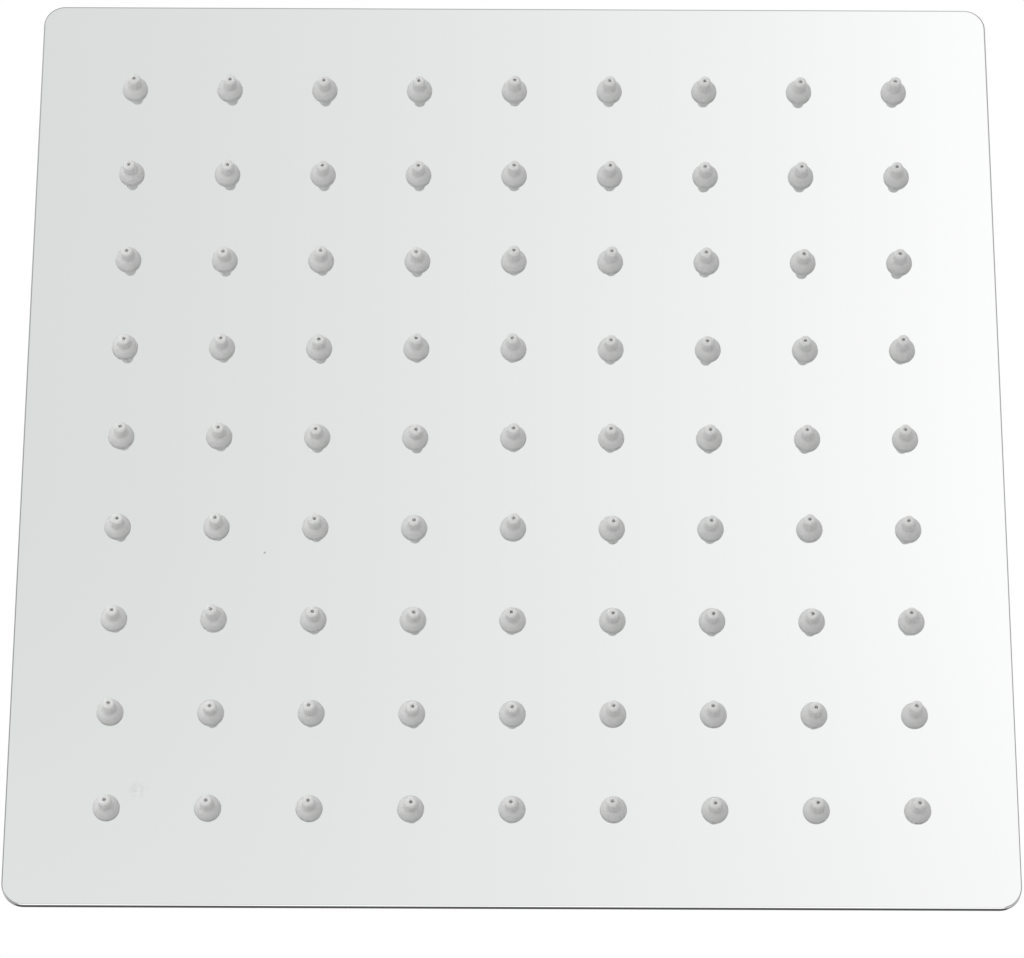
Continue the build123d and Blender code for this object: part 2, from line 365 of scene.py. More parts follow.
class Finish(Nodes):
    """A procedural surface finish on Object coordinates."""

    def __init__(self, name, **constants):
        self.material = bpy.data.materials.new(name)
        self.material.use_nodes = True
        super().__init__(self.material.node_tree)
        self.shader = self.tree.nodes["Principled BSDF"]
        self.place = self.add("ShaderNodeTexCoord").outputs["Object"]
        self.x, self.y, self.z = self.axes(self.place)
        for label, value in constants.items():
            self.shader.inputs[label.replace("_", " ")].default_value = value

    def noise(self, scale, detail=2.0, vector=None):
        inputs = {"Vector": vector or self.place, "Scale": scale, "Detail": detail}
        return self.value(self.add("ShaderNodeTexNoise", inputs=inputs), "Fac")

    def stretched(self, x, y, z):
        inputs = {"Vector": self.place, "Scale": (x, y, z)}
        return self.add("ShaderNodeMapping", inputs=inputs).outputs[0]

    def radius(self):
        return self.math("SQRT", self.x * self.x + self.y * self.y)

    def spot(self, x, y, size):
        """1 in the middle of a round spot on the face, 0 at its edge."""
        across = self.x - x
        along = self.y - y
        return self.step(self.math("SQRT", across * across + along * along), size, 0.0)

    def tone(self, name, share):
        """The finish's tone, between its two named ones."""
        return self.mix(share, *TONES[name])

    def colour(self, value):
        self.feed(self.shader.inputs["Base Color"], value)

    def roughness(self, value):
        self.feed(self.shader.inputs["Roughness"], value)

    def bump(self, height, depth, strength):
        inputs = {"Height": height, "Distance": depth, "Strength": strength}
        bumped = self.add("ShaderNodeBump", inputs=inputs)
        self.feed(self.shader.inputs["Normal"], bumped.outputs[0])


def mirror_steel():
    """The spray face: mirror-polished sheet with a faint smudge and one dark speck."""
    finish = Finish("mirror_steel", Metallic=1.0)
    haze = finish.noise(scale=14.0, detail=3.0)
    smear = finish.step(finish.noise(scale=900.0), low=0.35, high=0.65)
    smudge = finish.spot(*SMUDGE_PLACE, SMUDGE_R) * smear
    speck = finish.spot(*SPECK_PLACE, SPECK_R)
    polish = finish.step(finish.noise(scale=45.0, detail=4.0), low=0.4, high=0.8)
    smudged = finish.mix(smudge * 0.35, finish.tone("polished steel", haze), SMUDGE_TONE)
    finish.colour(finish.mix(speck * 0.8, smudged, SPECK_TONE))
    finish.roughness(0.035 + 0.02 * polish + 0.25 * smudge)
    return finish.material


def satin_steel():
    """The back: sheet with the fine lines that the belt leaves along X, and a polished edge."""
    finish = Finish("satin_steel", Metallic=1.0)
    lines = finish.noise(scale=1.0, detail=3.0, vector=finish.stretched(30.0, 2600.0, 600.0))
    haze = finish.noise(scale=11.0, detail=3.0)
    reach = finish.math("MAXIMUM", finish.math("ABSOLUTE", finish.x), finish.math("ABSOLUTE", finish.y))
    edge = finish.step(reach, *POLISHED_EDGE)
    finish.colour(finish.tone("satin steel", lines))
    finish.roughness(0.09 + 0.06 * lines + 0.05 * haze - 0.10 * edge)
    finish.bump(lines, depth=0.004 * MM, strength=0.35)
    return finish.material


def chromed_brass():
    """Chrome outside, bare brass in the thread."""
    finish = Finish("chromed_brass", Metallic=1.0)
    inside = finish.step(finish.radius(), *BRASS_R) * finish.step(finish.z, *BRASS_Z)
    haze = finish.noise(scale=60.0, detail=3.0)
    chrome = finish.tone("chrome", haze)
    brass = finish.tone("brass", finish.noise(scale=300.0, detail=4.0))
    finish.colour(finish.mix(inside, chrome, brass))
    finish.roughness(0.05 + 0.03 * haze + 0.22 * inside)
    return finish.material


def white_nylon():
    """The slip ring: moulded, cloudy and faintly grained."""
    finish = Finish("white_nylon")
    cloud = finish.noise(scale=220.0, detail=3.0)
    finish.colour(finish.tone("nylon", cloud))
    finish.roughness(0.38 + 0.12 * cloud)
    finish.bump(finish.noise(scale=1500.0), depth=0.01 * MM, strength=0.4)
    return finish.material


def black_rubber():
    """The seal and the washer: matt, with a fine grain."""
    finish = Finish("black_rubber")
    grain = finish.noise(scale=1800.0, detail=3.0)
    finish.colour(finish.tone("rubber", grain))
    finish.roughness(0.55 + 0.2 * grain)
    finish.bump(grain, depth=0.02 * MM, strength=0.5)
    return finish.material


def steel_wire():
    """The screen: drawn wire, duller in places."""
    finish = Finish("steel_wire", Metallic=1.0)
    cloud = finish.noise(scale=700.0, detail=3.0)
    finish.colour(finish.tone("wire", cloud))
    finish.roughness(0.25 + 0.15 * cloud)
    return finish.material


def weld_steel():
    """The fused bead round the boss: duller, with a trace of straw heat tint."""
    finish = Finish("weld_steel", Metallic=1.0)
    finish.colour(finish.tone("weld", finish.noise(scale=160.0)))
    finish.roughness(0.24 + 0.12 * finish.noise(scale=900.0, detail=3.0))
    return finish.material


def grey_silicone():
    """Soft moulded silicone: a matt grey that lets some light through, painted paler at the thin tips for
    the light that shines through them.
    """
    finish = Finish("grey_silicone", Specular_IOR_Level=0.35,
                    Subsurface_Weight=0.6, Subsurface_Radius=(1.0, 1.0, 1.0), Subsurface_Scale=1.2 * MM)
    grain = finish.noise(scale=2200.0, detail=3.0)
    # Painted light: the tips are painted paler, for the light that shines through the thin silicone
    tip = finish.step(finish.z, *TIP_GLOW_HEIGHTS)
    finish.colour(finish.mix(tip, finish.tone("silicone", finish.noise(scale=70.0)), TIP_GLOW_TONE))
    finish.roughness(0.46 + 0.14 * grain)
    finish.bump(grain, depth=0.012 * MM, strength=0.5)
    return finish.material


MAKERS = (
    mirror_steel,
    satin_steel,
    chromed_brass,
    white_nylon,
    black_rubber,
    steel_wire,
    weld_steel,
    grey_silicone,
)
FINISHES = {make.__name__: make() for make in MAKERS}
NODE_FINISHES = {
    "face_plate": "mirror_steel",
    "back_plate": "satin_steel",
    "slip_ring": "white_nylon",
    "ball_seal": "black_rubber",
    "inlet_washer": "black_rubber",
}


def dress_nodes():
    """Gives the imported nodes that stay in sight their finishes."""
    for name, finish in NODE_FINISHES.items():
        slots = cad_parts[name].data.materials
        slots.clear()
        slots.append(FINISHES[finish])


def new_object(name, data):
    thing = bpy.data.objects.new(name, data)
    bpy.context.scene.collection.objects.link(thing)
    return thing


def fit(name, mesh, body, slot, *nodes):
    """Puts a new piece on its body, in place of the nodes that it stands for."""
    piece = new_object(name, mesh)
    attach(piece, body)
    if nodes:
        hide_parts(*nodes)


def rounded(corners, steps=3):
    """A turned profile of (radius, height) points, with each corner of (radius, height, fillet) rounded."""
    points = []
    for index, (radius, height, fillet) in enumerate(corners):
        here = Vector((radius, height))
        if fillet == 0.0:
            points.append(here)
            continue
        before = (Vector(corners[index - 1][:2]) - here).normalized()
        after = (Vector(corners[(index + 1) % len(corners)][:2]) - here).normalized()
        half = before.angle(after) / 2
        reach = fillet / math.tan(half)
        middle = here + (before + after).normalized() * (fillet / math.sin(half))
        start = here + before * reach - middle
        end = here + after * reach - middle
        turn = start.angle_signed(end)
        for step in range(steps + 1):
            spoke = Matrix.Rotation(-turn * step / steps, 2) @ start
            points.append(middle + spoke)
    return points


def even_angles(count):
    return [2 * math.pi * index / count for index in range(count)]


def circle(radius, height, angles):
    """A level ring of points, or one point where it shrinks to the axis."""
    if radius < SAME_POINT:
        return [(0.0, 0.0, height)]
    return [(radius * math.cos(angle), radius * math.sin(angle), height) for angle in angles]


def uneven_ring(angles, radius_at, height_at):
    """A ring whose radius changes with the angle, and its height with the radius."""
    points = []
    for angle in angles:
        radius = radius_at(angle)
        points.append((radius * math.cos(angle), radius * math.sin(angle), height_at(radius)))
    return points


def skin(rings, loop=False):
    """Faces over rings of points; loop joins the last ring to the first."""
    shell = bmesh.new()
    made = [[shell.verts.new(point) for point in ring] for ring in rings]
    pairs = list(zip(made, made[1:]))
    if loop:
        pairs.append((made[-1], made[0]))
    for low, high in pairs:
        sides = max(len(low), len(high))
        for side in range(sides):
            following = (side + 1) % sides
            corners = [low[side % len(low)], low[following % len(low)],
                       high[following % len(high)], high[side % len(high)]]
            shell.faces.new(list(dict.fromkeys(corners)))
    return shell


def as_mesh(shell, name, finish, sharp_degrees=SHARP_DEGREES):
    """A smooth mesh of the shell, with its faces outwards and its steep edges sharp."""
    bmesh.ops.remove_doubles(shell, verts=shell.verts, dist=SAME_POINT)
    bmesh.ops.dissolve_degenerate(shell, edges=shell.edges, dist=SAME_POINT)
    bmesh.ops.recalc_face_normals(shell, faces=shell.faces)
    mesh = bpy.data.meshes.new(name)
    shell.to_mesh(mesh)
    shell.free()
    mesh.polygons.foreach_set("use_smooth", [True] * len(mesh.polygons))
    mesh.set_sharp_from_angle(angle=math.radians(sharp_degrees))
    mesh.materials.append(FINISHES[finish])
    return mesh


def turned(name, finish, corners, sides, loop=False, sharp_degrees=SHARP_DEGREES):
    """A skin turned about Z from a profile of (radius, height, fillet) corners."""
    angles = even_angles(sides)
    rings = [circle(radius, height, angles) for radius, height in rounded(corners)]
    return as_mesh(skin(rings, loop), name, finish, sharp_degrees)


def new_tree(name, inputs):
    """A geometry tree with these named inputs, and the node that gives them."""
    tree = bpy.data.node_groups.new(name, "GeometryNodeTree")
    for label, kind in inputs.items():
        tree.interface.new_socket(label, in_out="INPUT", socket_type="NodeSocket" + kind)
    tree.interface.new_socket("Geometry", in_out="OUTPUT", socket_type="NodeSocketGeometry")
    nodes = Nodes(tree)
    return nodes, nodes.add("NodeGroupInput")


def grown(name, tree, sizes):
    """The plain mesh that a node tree makes with these sizes."""
    host = new_object(name + "_host", bpy.data.meshes.new(name + "_host"))
    modifier = host.modifiers.new(name, "NODES")
    modifier.node_group = tree
    for socket in tree.interface.items_tree:
        if socket.in_out == "INPUT":
            modifier[socket.identifier] = sizes[socket.name]
    bpy.context.view_layer.update()
    graph = bpy.context.evaluated_depsgraph_get()
    mesh = bpy.data.meshes.new_from_object(host.evaluated_get(graph), depsgraph=graph)
    mesh.name = name
    bpy.data.objects.remove(host)
    return mesh


def nozzle_corners():
    """One nozzle from its outlet to its root: heights run down from the face, so the tip is lowest."""
    outlet_floor = OUTLET_DEPTH - NOZZLE_HEIGHT
    return [
        (0.0, outlet_floor, 0.0),
        (OUTLET_R, outlet_floor, 0.0),
        (OUTLET_R, -NOZZLE_HEIGHT, OUTLET_FILLET),
        (TIP_R, -NOZZLE_HEIGHT, TIP_FILLET),
        (TIP_FOOT_R, -TIP_FOOT_H, TIP_FOOT_FILLET),
        (DOME_R, -DOME_H, DOME_FILLET),
        (COLLAR_R - RIM_TAPER, -RIM_H, RIM_FILLET),
        (COLLAR_R, 0.0, 0.0),
        (NECK_R, 0.0, 0.0),
        (NECK_R, SHEET_T, 0.0),
        (GRIP_R, SHEET_T, 0.0),
        (GRIP_R - GRIP_TAPER, NOZZLE_ROOT, 0.0),
        (0.0, NOZZLE_ROOT, 0.0),
    ]


def nozzle_field_tree():
    """A square field of nozzles: one nozzle on each point of a grid, its soft tip a little off straight."""
    nodes, sizes = new_tree("nozzle_field", {
        "Nozzle": "Object",
        "Pitch": "Float",
        "Nozzles a Side": "Int",
        "Face Height": "Float",
        "Nozzle Height": "Float",
        "Lean": "Float",
        "Seed": "Int",
        "Finish": "Material",
    })
    width = nodes.value(sizes, "Pitch") * (nodes.value(sizes, "Nozzles a Side") - 1)
    count = sizes.outputs["Nozzles a Side"]
    grid = nodes.add("GeometryNodeMeshGrid", inputs={
        "Size X": width, "Size Y": width, "Vertices X": count, "Vertices Y": count})
    lift = nodes.add("ShaderNodeCombineXYZ", inputs={"Z": sizes.outputs["Face Height"]})
    points = nodes.add("GeometryNodeTransform", inputs={
        "Geometry": grid.outputs["Mesh"], "Translation": lift.outputs[0]})
    source = nodes.add("GeometryNodeObjectInfo", inputs={"Object": sizes.outputs["Nozzle"]})
    placed = nodes.add("GeometryNodeInstanceOnPoints", inputs={
        "Points": points.outputs[0], "Instance": source.outputs["Geometry"]})
    chance = nodes.add("FunctionNodeRandomValue", {"data_type": "FLOAT_VECTOR"}, {
        "Min": (-1.0, -1.0, 0.0), "Max": (1.0, 1.0, 0.0), "Seed": sizes.outputs["Seed"]})
    leaning = nodes.add("GeometryNodeStoreNamedAttribute", {
        "data_type": "FLOAT_VECTOR", "domain": "INSTANCE"}, {
        "Geometry": placed.outputs[0], "Name": "lean", "Value": chance.outputs[0]})
    real = nodes.add("GeometryNodeRealizeInstances", inputs={"Geometry": leaning.outputs[0]})
    height = nodes.axes(nodes.add("GeometryNodeInputPosition").outputs[0])[2]
    drop = nodes.value(sizes, "Face Height") - height
    share = nodes.math("MAXIMUM", drop / nodes.value(sizes, "Nozzle Height"), 0.0)
    bend = share * share * nodes.value(sizes, "Lean")
    lean = nodes.add("GeometryNodeInputNamedAttribute", {"data_type": "FLOAT_VECTOR"}, {"Name": "lean"})
    offset = nodes.add("ShaderNodeVectorMath", {"operation": "SCALE"}, {
        0: lean.outputs["Attribute"], "Scale": bend})
    bent = nodes.add("GeometryNodeSetPosition", inputs={
        "Geometry": real.outputs[0], "Offset": offset.outputs[0]})
    plain = nodes.add("GeometryNodeRemoveAttribute", inputs={
        "Geometry": bent.outputs[0], "Name": "lean"})
    dressed = nodes.add("GeometryNodeSetMaterial", inputs={
        "Geometry": plain.outputs[0], "Material": sizes.outputs["Finish"]})
    nodes.add("NodeGroupOutput", inputs={0: dressed.outputs[0]})
    return nodes.tree


def make_nozzles():
    pattern = turned("nozzle_pattern", "grey_silicone", nozzle_corners(), NOZZLE_SIDES,
                     sharp_degrees=NOZZLE_SHARP_DEGREES)
    single = new_object("nozzle_pattern", pattern)
    field = grown("silicone_nozzles", nozzle_field_tree(), {
        "Nozzle": single,
        "Pitch": NOZZLE_PITCH,
        "Nozzles a Side": NOZZLES_A_SIDE,
        "Face Height": FACE_Z,
        "Nozzle Height": NOZZLE_HEIGHT,
        "Lean": TIP_LEAN,
        "Seed": LEAN_SEED,
        "Finish": FINISHES["grey_silicone"],
    })
    bpy.data.objects.remove(single)
    fit("silicone_nozzles", field, "head", "grey_silicone", *NOZZLE_ROWS)


def hexagon_radius(angle):
    return HEX_FLAT_R / math.cos(angle % (2 * HEX_HALF_ANGLE) - HEX_HALF_ANGLE)


def thread_radius(row):
    """The thread's section along its pitch: crest, flank, root, flank."""
    along = row / THREAD_ROWS % 1.0
    rise = (abs(2 * along - 1) - THREAD_ROOT_SHARE) / THREAD_FLANK_SHARE
    return THREAD_ROOT_R - (THREAD_ROOT_R - THREAD_CREST_R) * min(max(rise, 0.0), 1.0)


def add_thread(shell):
    """A helical groove whose ends run out in the lead-in cone and in the relief."""
    length = MOUTH_Z - THREAD_END_Z
    rows = math.ceil((length / THREAD_PITCH + 1) * THREAD_ROWS) + 1
    columns = STEM_SIDES + 1
    grid = []
    for row in range(rows):
        line = []
        for column in range(columns):
            turn = column / STEM_SIDES
            drop = (row / THREAD_ROWS + turn) * THREAD_PITCH
            height = min(max(MOUTH_Z + THREAD_PITCH - drop, THREAD_END_Z), MOUTH_Z)
            lead_in = LEAD_IN_R - (MOUTH_Z - height)
            run_out = RELIEF_R - RUN_OUT_SLOPE * (height - THREAD_END_Z)
            radius = max(thread_radius(row), lead_in, run_out)
            angle = 2 * math.pi * turn
            line.append(shell.verts.new((radius * math.cos(angle), radius * math.sin(angle), height)))
        grid.append(line)
    for upper, lower in zip(grid, grid[1:]):
        for column in range(STEM_SIDES):
            shell.faces.new((upper[column], upper[column + 1], lower[column + 1], lower[column]))


def make_ball_stem():
    """The inlet: a hexagonal socket with its thread, a waisted neck and the ball."""
    angles = even_angles(STEM_SIDES)
    ball_start = math.asin(STEM_NECK_R / BALL_R)
    ball_end = math.pi - math.asin(WATERWAY_R / BALL_R)
    neck = rounded([
        (HEX_FACE_R, SOCKET_Z, 0.0),
        (SHOULDER_R, SOCKET_Z, SHOULDER_FILLET),
        (STEM_NECK_R, SHOULDER_Z, STEM_NECK_FILLET),
        (STEM_NECK_R, BALL_Z + BALL_R * math.cos(ball_start), 0.0),
    ])
    steps = [ball_start + (ball_end - ball_start) * step / BALL_STEPS for step in range(1, BALL_STEPS + 1)]
    ball = [(BALL_R * math.sin(step), BALL_Z + BALL_R * math.cos(step)) for step in steps]
    inside = [(WATERWAY_R, SEAT_Z), (RELIEF_R, SEAT_Z), (RELIEF_R, THREAD_END_Z)]
    rings = [
        circle(LEAD_IN_R, MOUTH_Z, angles),
        circle(HEX_FACE_R, MOUTH_Z, angles),
        uneven_ring(angles, hexagon_radius, lambda radius: MOUTH_Z - (radius - HEX_FACE_R) * HEX_CHAMFER),
        uneven_ring(angles, hexagon_radius, lambda radius: SOCKET_Z + (radius - HEX_FACE_R) * HEX_CHAMFER),
    ]
    rings += [circle(radius, height, angles) for radius, height in [*neck, *ball, *inside]]
    shell = skin(rings)
    add_thread(shell)
    mesh = as_mesh(shell, "threaded_ball_stem", "chromed_brass")
    fit("threaded_ball_stem", mesh, "inlet", "chromed_brass", "ball_stem")


def flute_radius(angle):
    """The collar nut's grip: smooth flutes round a cylinder."""
    pitch = 2 * math.pi / FLUTES
    off = (angle + pitch / 2) % pitch - pitch / 2
    if abs(off) >= FLUTE_HALF_ANGLE:
        return NUT_R
    return NUT_R - FLUTE_DEPTH * math.cos(math.pi / 2 * off / FLUTE_HALF_ANGLE) ** 2


def make_collar_nut():
    """The ring nut: fluted outside, with a lip that holds the slip ring."""
    low, high = COLLAR_BOX[0].z, COLLAR_BOX[1].z
    ledge = high - NUT_LIP_T
    flute_angles = [360 / FLUTES * flute for flute in range(FLUTES)]
    angles = [math.radians(middle + column) for middle in flute_angles for column in FLUTE_COLUMNS]
    top_r = NUT_R - NUT_CHAMFER
    mouth = rounded([
        (top_r, high, 0.0),
        (NUT_MOUTH_R, high, NUT_EDGE),
        (NUT_MOUTH_R, ledge, 0.0),
        (NUT_BORE_R, ledge, 0.0),
        (NUT_BORE_R, low, 0.0),
    ])
    rings = [
        uneven_ring(angles, lambda angle: flute_radius(angle) - NUT_EDGE, lambda radius: low),
        uneven_ring(angles, flute_radius, lambda radius: low + NUT_EDGE),
        uneven_ring(angles, flute_radius, lambda radius: high - (radius - top_r)),
    ]
    rings += [circle(radius, height, angles) for radius, height in mouth]
    mesh = as_mesh(skin(rings, loop=True), "fluted_collar_nut", "chromed_brass")
    fit("fluted_collar_nut", mesh, "head", "chromed_brass", "collar_nut")


def make_boss():
    """The turned boss, with its edges broken."""
    corners = [
        (BOSS_BORE_R, BOSS_LOW, 0.0),
        (SPIGOT_R, BOSS_LOW, 0.0),
        (SPIGOT_R, BACK_TOP, 0.0),
        (FLANGE_R, BACK_TOP, 0.0),
        (FLANGE_R, FLANGE_TOP, FLANGE_FILLET),
        (BOSS_R, FLANGE_TOP, 0.0),
        (BOSS_R, BOSS_TOP, BOSS_FILLET),
        (POCKET_R, BOSS_TOP, BOSS_FILLET),
        (POCKET_R, POCKET_Z, 0.0),
        (BOSS_BORE_R, POCKET_Z, BOSS_FILLET),
    ]
    mesh = turned("turned_inlet_boss", "satin_steel", corners, BOSS_SIDES, loop=True)
    fit("turned_inlet_boss", mesh, "head", "polished_steel", "inlet_boss")


def weld_tree():
    """A ring of overlapping ripples, as a weld leaves them."""
    nodes, sizes = new_tree("weld_bead", {
        "Radius": "Float",
        "Height": "Float",
        "Ripples": "Int",
        "Ripple Size": "Vector",
        "Smallest": "Vector",
        "Largest": "Vector",
        "Segments": "Int",
        "Rings": "Int",
        "Seed": "Int",
        "Finish": "Material",
    })
    ring = nodes.add("GeometryNodeMeshCircle", inputs={
        "Vertices": sizes.outputs["Ripples"], "Radius": sizes.outputs["Radius"]})
    lift = nodes.add("ShaderNodeCombineXYZ", inputs={"Z": sizes.outputs["Height"]})
    raised = nodes.add("GeometryNodeTransform", inputs={
        "Geometry": ring.outputs[0], "Translation": lift.outputs[0]})
    ball = nodes.add("GeometryNodeMeshUVSphere", inputs={
        "Segments": sizes.outputs["Segments"], "Rings": sizes.outputs["Rings"], "Radius": 1.0})
    smooth = nodes.add("GeometryNodeSetShadeSmooth", inputs={"Geometry": ball.outputs["Mesh"]})
    turn = nodes.value(nodes.add("GeometryNodeInputIndex")) * (2 * math.pi) / nodes.value(sizes, "Ripples")
    facing = nodes.add("ShaderNodeCombineXYZ", inputs={"Z": turn})
    chance = nodes.add("FunctionNodeRandomValue", {"data_type": "FLOAT_VECTOR"}, {
        "Min": sizes.outputs["Smallest"], "Max": sizes.outputs["Largest"], "Seed": sizes.outputs["Seed"]})
    size = nodes.add("ShaderNodeVectorMath", {"operation": "MULTIPLY"}, {
        0: chance.outputs[0], 1: sizes.outputs["Ripple Size"]})
    placed = nodes.add("GeometryNodeInstanceOnPoints", inputs={
        "Points": raised.outputs[0], "Instance": smooth.outputs[0],
        "Rotation": facing.outputs[0], "Scale": size.outputs[0]})
    real = nodes.add("GeometryNodeRealizeInstances", inputs={"Geometry": placed.outputs[0]})
    dressed = nodes.add("GeometryNodeSetMaterial", inputs={
        "Geometry": real.outputs[0], "Material": sizes.outputs["Finish"]})
    nodes.add("NodeGroupOutput", inputs={0: dressed.outputs[0]})
    return nodes.tree


def make_boss_weld():
    bead = grown("boss_weld", weld_tree(), {
        "Radius": FLANGE_R,
        "Height": BACK_TOP,
        "Ripples": WELD_RIPPLES,
        "Ripple Size": RIPPLE_SIZE,
        "Smallest": RIPPLE_LEAST,
        "Largest": RIPPLE_MOST,
        "Segments": RIPPLE_SEGMENTS,
        "Rings": RIPPLE_RINGS,
        "Seed": WELD_SEED,
        "Finish": FINISHES["weld_steel"],
    })
    fit("boss_weld", bead, "head", "polished_steel")


def woven_wire_tree():
    """A disc of wires that pass over and under each other."""
    nodes, sizes = new_tree("woven_wire", {
        "Disc Radius": "Float",
        "Height": "Float",
        "Wires": "Int",
        "Wire Radius": "Float",
        "Wire Points": "Int",
        "Wire Sides": "Int",
        "Finish": "Material",
    })
    reach = nodes.value(sizes, "Disc Radius")
    wires = nodes.value(sizes, "Wires")
    pitch = 2 * reach / wires
    first = nodes.add("ShaderNodeCombineXYZ", inputs={"Y": (1 - wires) * pitch / 2})
    following = nodes.add("ShaderNodeCombineXYZ", inputs={"Y": pitch})
    rows = nodes.add("GeometryNodeMeshLine", inputs={
        "Count": wires, "Start Location": first.outputs[0], "Offset": following.outputs[0]})
    left = nodes.add("ShaderNodeCombineXYZ", inputs={"X": -1 * reach})
    right = nodes.add("ShaderNodeCombineXYZ", inputs={"X": reach})
    straight = nodes.add("GeometryNodeCurvePrimitiveLine", inputs={
        "Start": left.outputs[0], "End": right.outputs[0]})
    wire = nodes.add("GeometryNodeResampleCurve", inputs={
        "Curve": straight.outputs[0], "Count": sizes.outputs["Wire Points"]})
    placed = nodes.add("GeometryNodeInstanceOnPoints", inputs={
        "Points": rows.outputs[0], "Instance": wire.outputs[0]})
    real = nodes.add("GeometryNodeRealizeInstances", inputs={"Geometry": placed.outputs[0]})
    x, y = nodes.axes(nodes.add("GeometryNodeInputPosition").outputs[0])[:2]
    wave = nodes.math("COSINE", ((x + y) / pitch + wires - 1) * math.pi)
    weave = nodes.add("ShaderNodeCombineXYZ", inputs={"Z": wave * nodes.value(sizes, "Wire Radius")})
    waved = nodes.add("GeometryNodeSetPosition", inputs={
        "Geometry": real.outputs[0], "Offset": weave.outputs[0]})
    outside = nodes.math("GREATER_THAN", x * x + y * y, reach * reach)
    trimmed = nodes.add("GeometryNodeDeleteGeometry", inputs={
        "Geometry": waved.outputs[0], "Selection": outside})
    section = nodes.add("GeometryNodeCurvePrimitiveCircle", inputs={
        "Resolution": sizes.outputs["Wire Sides"], "Radius": sizes.outputs["Wire Radius"]})
    solid = nodes.add("GeometryNodeCurveToMesh", inputs={
        "Curve": trimmed.outputs[0], "Profile Curve": section.outputs[0], "Fill Caps": True})
    crossing = nodes.add("GeometryNodeTransform", inputs={
        "Geometry": solid.outputs[0], "Rotation": (0.0, 0.0, math.pi / 2)})
    cloth = nodes.add("GeometryNodeJoinGeometry")
    for layer in (solid, crossing):
        nodes.feed(cloth.inputs[0], layer.outputs[0])
    lift = nodes.add("ShaderNodeCombineXYZ", inputs={"Z": sizes.outputs["Height"]})
    raised = nodes.add("GeometryNodeTransform", inputs={
        "Geometry": cloth.outputs[0], "Translation": lift.outputs[0]})
    whole = nodes.add("GeometryNodeRealizeInstances", inputs={"Geometry": raised.outputs[0]})
    smooth = nodes.add("GeometryNodeSetShadeSmooth", inputs={"Geometry": whole.outputs[0]})
    dressed = nodes.add("GeometryNodeSetMaterial", inputs={
        "Geometry": smooth.outputs[0], "Material": sizes.outputs["Finish"]})
    nodes.add("NodeGroupOutput", inputs={0: dressed.outputs[0]})
    return nodes.tree


def make_filter_screen():
    cloth = grown("screen_cloth", woven_wire_tree(), {
        "Disc Radius": SCREEN_R - SCREEN_RIM_W / 2,
        "Height": (SCREEN_LOW + SCREEN_HIGH) / 2,
        "Wires": WIRES,
        "Wire Radius": WIRE_R,
        "Wire Points": WIRE_POINTS,
        "Wire Sides": WIRE_SIDES,
        "Finish": FINISHES["steel_wire"],
    })
    fit("woven_filter_screen", cloth, "inlet", "steel_mesh", "filter_screen")
    rim = turned("screen_rim", "steel_wire", [
        (SCREEN_R - SCREEN_RIM_W, SCREEN_LOW, SCREEN_RIM_FILLET),
        (SCREEN_R, SCREEN_LOW, SCREEN_RIM_FILLET),
        (SCREEN_R, SCREEN_HIGH, SCREEN_RIM_FILLET),
        (SCREEN_R - SCREEN_RIM_W, SCREEN_HIGH, SCREEN_RIM_FILLET),
    ], STEM_SIDES, loop=True)
    fit("screen_rim", rim, "inlet", "steel_mesh")


def aimed(place, target, up):
    """The turn and place of a camera or lamp that looks along its own -Z."""
    back = (place - target).normalized()
    right = up.cross(back).normalized()
    axes = Matrix((right, back.cross(right), back)).transposed().to_4x4()
    return Matrix.Translation(place) @ axes


def make_camera():
    lens = bpy.data.cameras.new("photo_camera")
    lens.sensor_width = SENSOR_WIDTH
    lens.sensor_fit = "HORIZONTAL"
    lens.lens = FOCAL_PIXELS / IMAGE_WIDTH * SENSOR_WIDTH
    lens.clip_end = CLIP_END
    camera = new_object("photo_camera", lens)
    face = Vector((0.0, 0.0, FACE_Z))
    camera.matrix_world = aimed(face + CAMERA_PLACE, face + CAMERA_AIM, CAMERA_UP)
    bpy.context.scene.camera = camera


def grey_tone(level):
    return (level, level, level, 1.0)


def panel_light(nodes, x, y, z):
    """The light of the room's panels, as metal sees it in this direction."""
    turn = nodes.math("ARCTAN2", y, x) * PANELS + z * PANEL_SLANT + PANEL_TURN
    wave = nodes.math("SINE", turn)
    low, high = PANEL_GREYS
    return low + (high - low) * (0.5 + 0.5 * wave)


def reflected(nodes):
    """1 for rays that a mirror or glass sends out."""
    path = nodes.add("ShaderNodeLightPath")
    return nodes.math("MAXIMUM", path.outputs["Is Glossy Ray"], path.outputs["Is Transmission Ray"])


def floor_glow(finish, radius):
    """The floor's light as metal sees it: a soft pool, and the room's panels further off."""
    low, high = GLOW_ENDS
    u = finish.math("MINIMUM", finish.math("MAXIMUM", finish.x / -GLOW_HALF_WIDTH, low), high)
    front, back = GLOW_SLOPE
    slope = front + (back - front) * finish.step(finish.y, *GLOW_SLOPE_PLACES)
    pool = GLOW_MIDDLE + slope * u + GLOW_CURVE * u * u
    down = -FLOOR_DROP / finish.math("SQRT", radius * radius + FLOOR_DROP * FLOOR_DROP)
    panels = panel_light(finish, finish.x, finish.y, down)
    level = panels + (pool - panels) * finish.step(radius, *GLOW_POOL)
    tint = finish.mix(finish.step(u, *GLOW_ENDS), GLOW_TINT, WHITE)
    shade = finish.add("ShaderNodeVectorMath", {"operation": "SCALE"}, {0: tint, "Scale": level})
    return finish.add("ShaderNodeEmission", inputs={"Color": shade.outputs[0]})


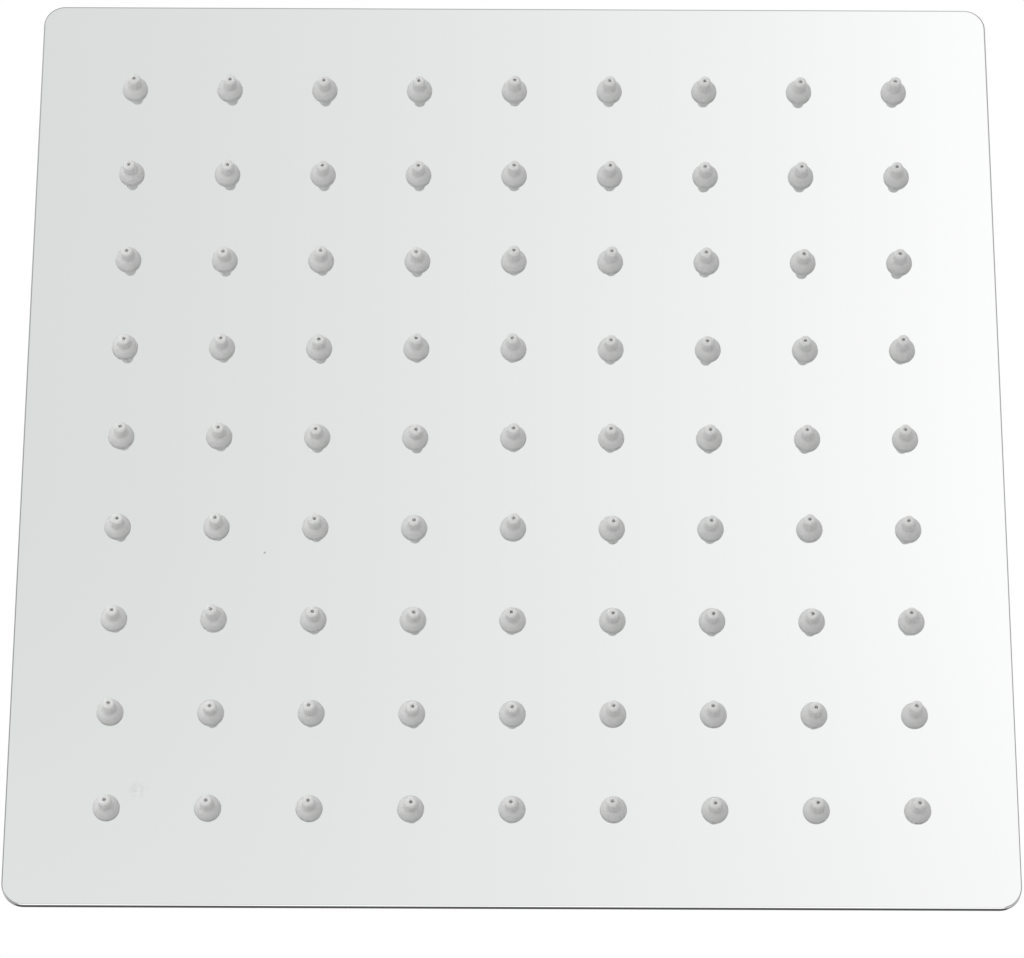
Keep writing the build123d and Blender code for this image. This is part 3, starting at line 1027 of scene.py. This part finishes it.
def make_floor():
    """A round pale floor that fades to white far off."""
    disc = bmesh.new()
    bmesh.ops.create_circle(disc, cap_ends=True, radius=FLOOR_RADIUS, segments=FLOOR_SIDES)
    mesh = bpy.data.meshes.new("floor")
    disc.to_mesh(mesh)
    disc.free()
    mesh.transform(Matrix.Translation((0.0, 0.0, FACE_Z - FLOOR_DROP)))
    finish = Finish("pale_floor", Roughness=FLOOR_ROUGHNESS)
    finish.colour(FLOOR_COLOUR)
    radius = finish.radius()
    white = finish.add("ShaderNodeEmission")
    seen = finish.add("ShaderNodeMixShader", inputs={
        0: finish.step(radius, *FLOOR_FADE), 1: finish.shader.outputs[0], 2: white.outputs[0]})
    mirrored = finish.add("ShaderNodeMixShader", inputs={
        0: reflected(finish), 1: seen.outputs[0], 2: floor_glow(finish, radius).outputs[0]})
    finish.feed(finish.tree.nodes["Material Output"].inputs["Surface"], mirrored.outputs[0])
    mesh.materials.append(finish.material)
    new_object("floor", mesh)


def room_in_metal(nodes, x, y, z):
    """The room as metal shows it: grey bands and panels, shade, a dark patch and a white card."""
    across = nodes.math("ABSOLUTE", x)
    stops = [(place, grey_tone(level)) for place, level in ROOM_GREYS]
    bands = nodes.add("ShaderNodeValToRGB", {"stops": stops}, {"Fac": z * 0.5 + 0.5})
    panels = nodes.grey(panel_light(nodes, x, y, z))
    walls = nodes.mix(nodes.step(z, *PANEL_TOP), bands.outputs["Color"], panels)
    facing = nodes.math("ABSOLUTE", x * BRIGHT_SIDE[0] + y * BRIGHT_SIDE[1])
    shade = nodes.step(facing, *SHADE_SIDES) * nodes.step(z, *SHADE_HIGH)
    shaded = nodes.mix(shade * SHADE_DEPTH, walls, grey_tone(SHADE_GREY))
    patch = nodes.step(z, *PATCH_HIGH) * nodes.step(y, *PATCH_FRONT) * nodes.step(across, *PATCH_SIDES)
    patched = nodes.mix(patch, shaded, grey_tone(PATCH_GREY))
    card_width = nodes.step(across, *CARD_SIDES) * nodes.step(y, *CARD_FRONT)
    card = card_width * nodes.step(z, *CARD_LOW) * nodes.step(z, *CARD_HIGH)
    return nodes.mix(card, patched, grey_tone(CARD_LIGHT))


def make_room():
    """White to the camera, plain light on the object, and light and dark for metal to show."""
    world = bpy.data.worlds.new("room")
    bpy.context.scene.world = world
    world.use_nodes = True
    nodes = Nodes(world.node_tree)
    x, y, z = nodes.axes(nodes.add("ShaderNodeTexCoord").outputs["Generated"])
    plain = nodes.grey(ROOM_LIGHT + ROOM_LIGHT * ROOM_SLOPE * y)
    lit = nodes.mix(reflected(nodes), plain, room_in_metal(nodes, x, y, z))
    path = nodes.add("ShaderNodeLightPath")
    colour = nodes.mix(path.outputs["Is Camera Ray"], lit, WHITE)
    nodes.feed(world.node_tree.nodes["Background"].inputs["Color"], colour)


def make_lamps():
    """Soft lamps that light the object and don't show themselves."""
    for name, place, size, power in LAMPS:
        light = bpy.data.lights.new(name, "AREA")
        light.size = size
        light.energy = power
        lamp = new_object(name, light)
        lamp.visible_glossy = False
        lamp.visible_camera = False
        lamp.matrix_world = aimed(Vector(place), Vector((0.0, 0.0, FACE_Z)), Vector((0.0, 0.0, 1.0)))


dress_nodes()
make_nozzles()
make_ball_stem()
make_collar_nut()
make_boss()
make_boss_weld()
make_filter_screen()
make_camera()
make_floor()
make_room()
make_lamps()

bpy.context.scene.view_settings.view_transform = "Standard"
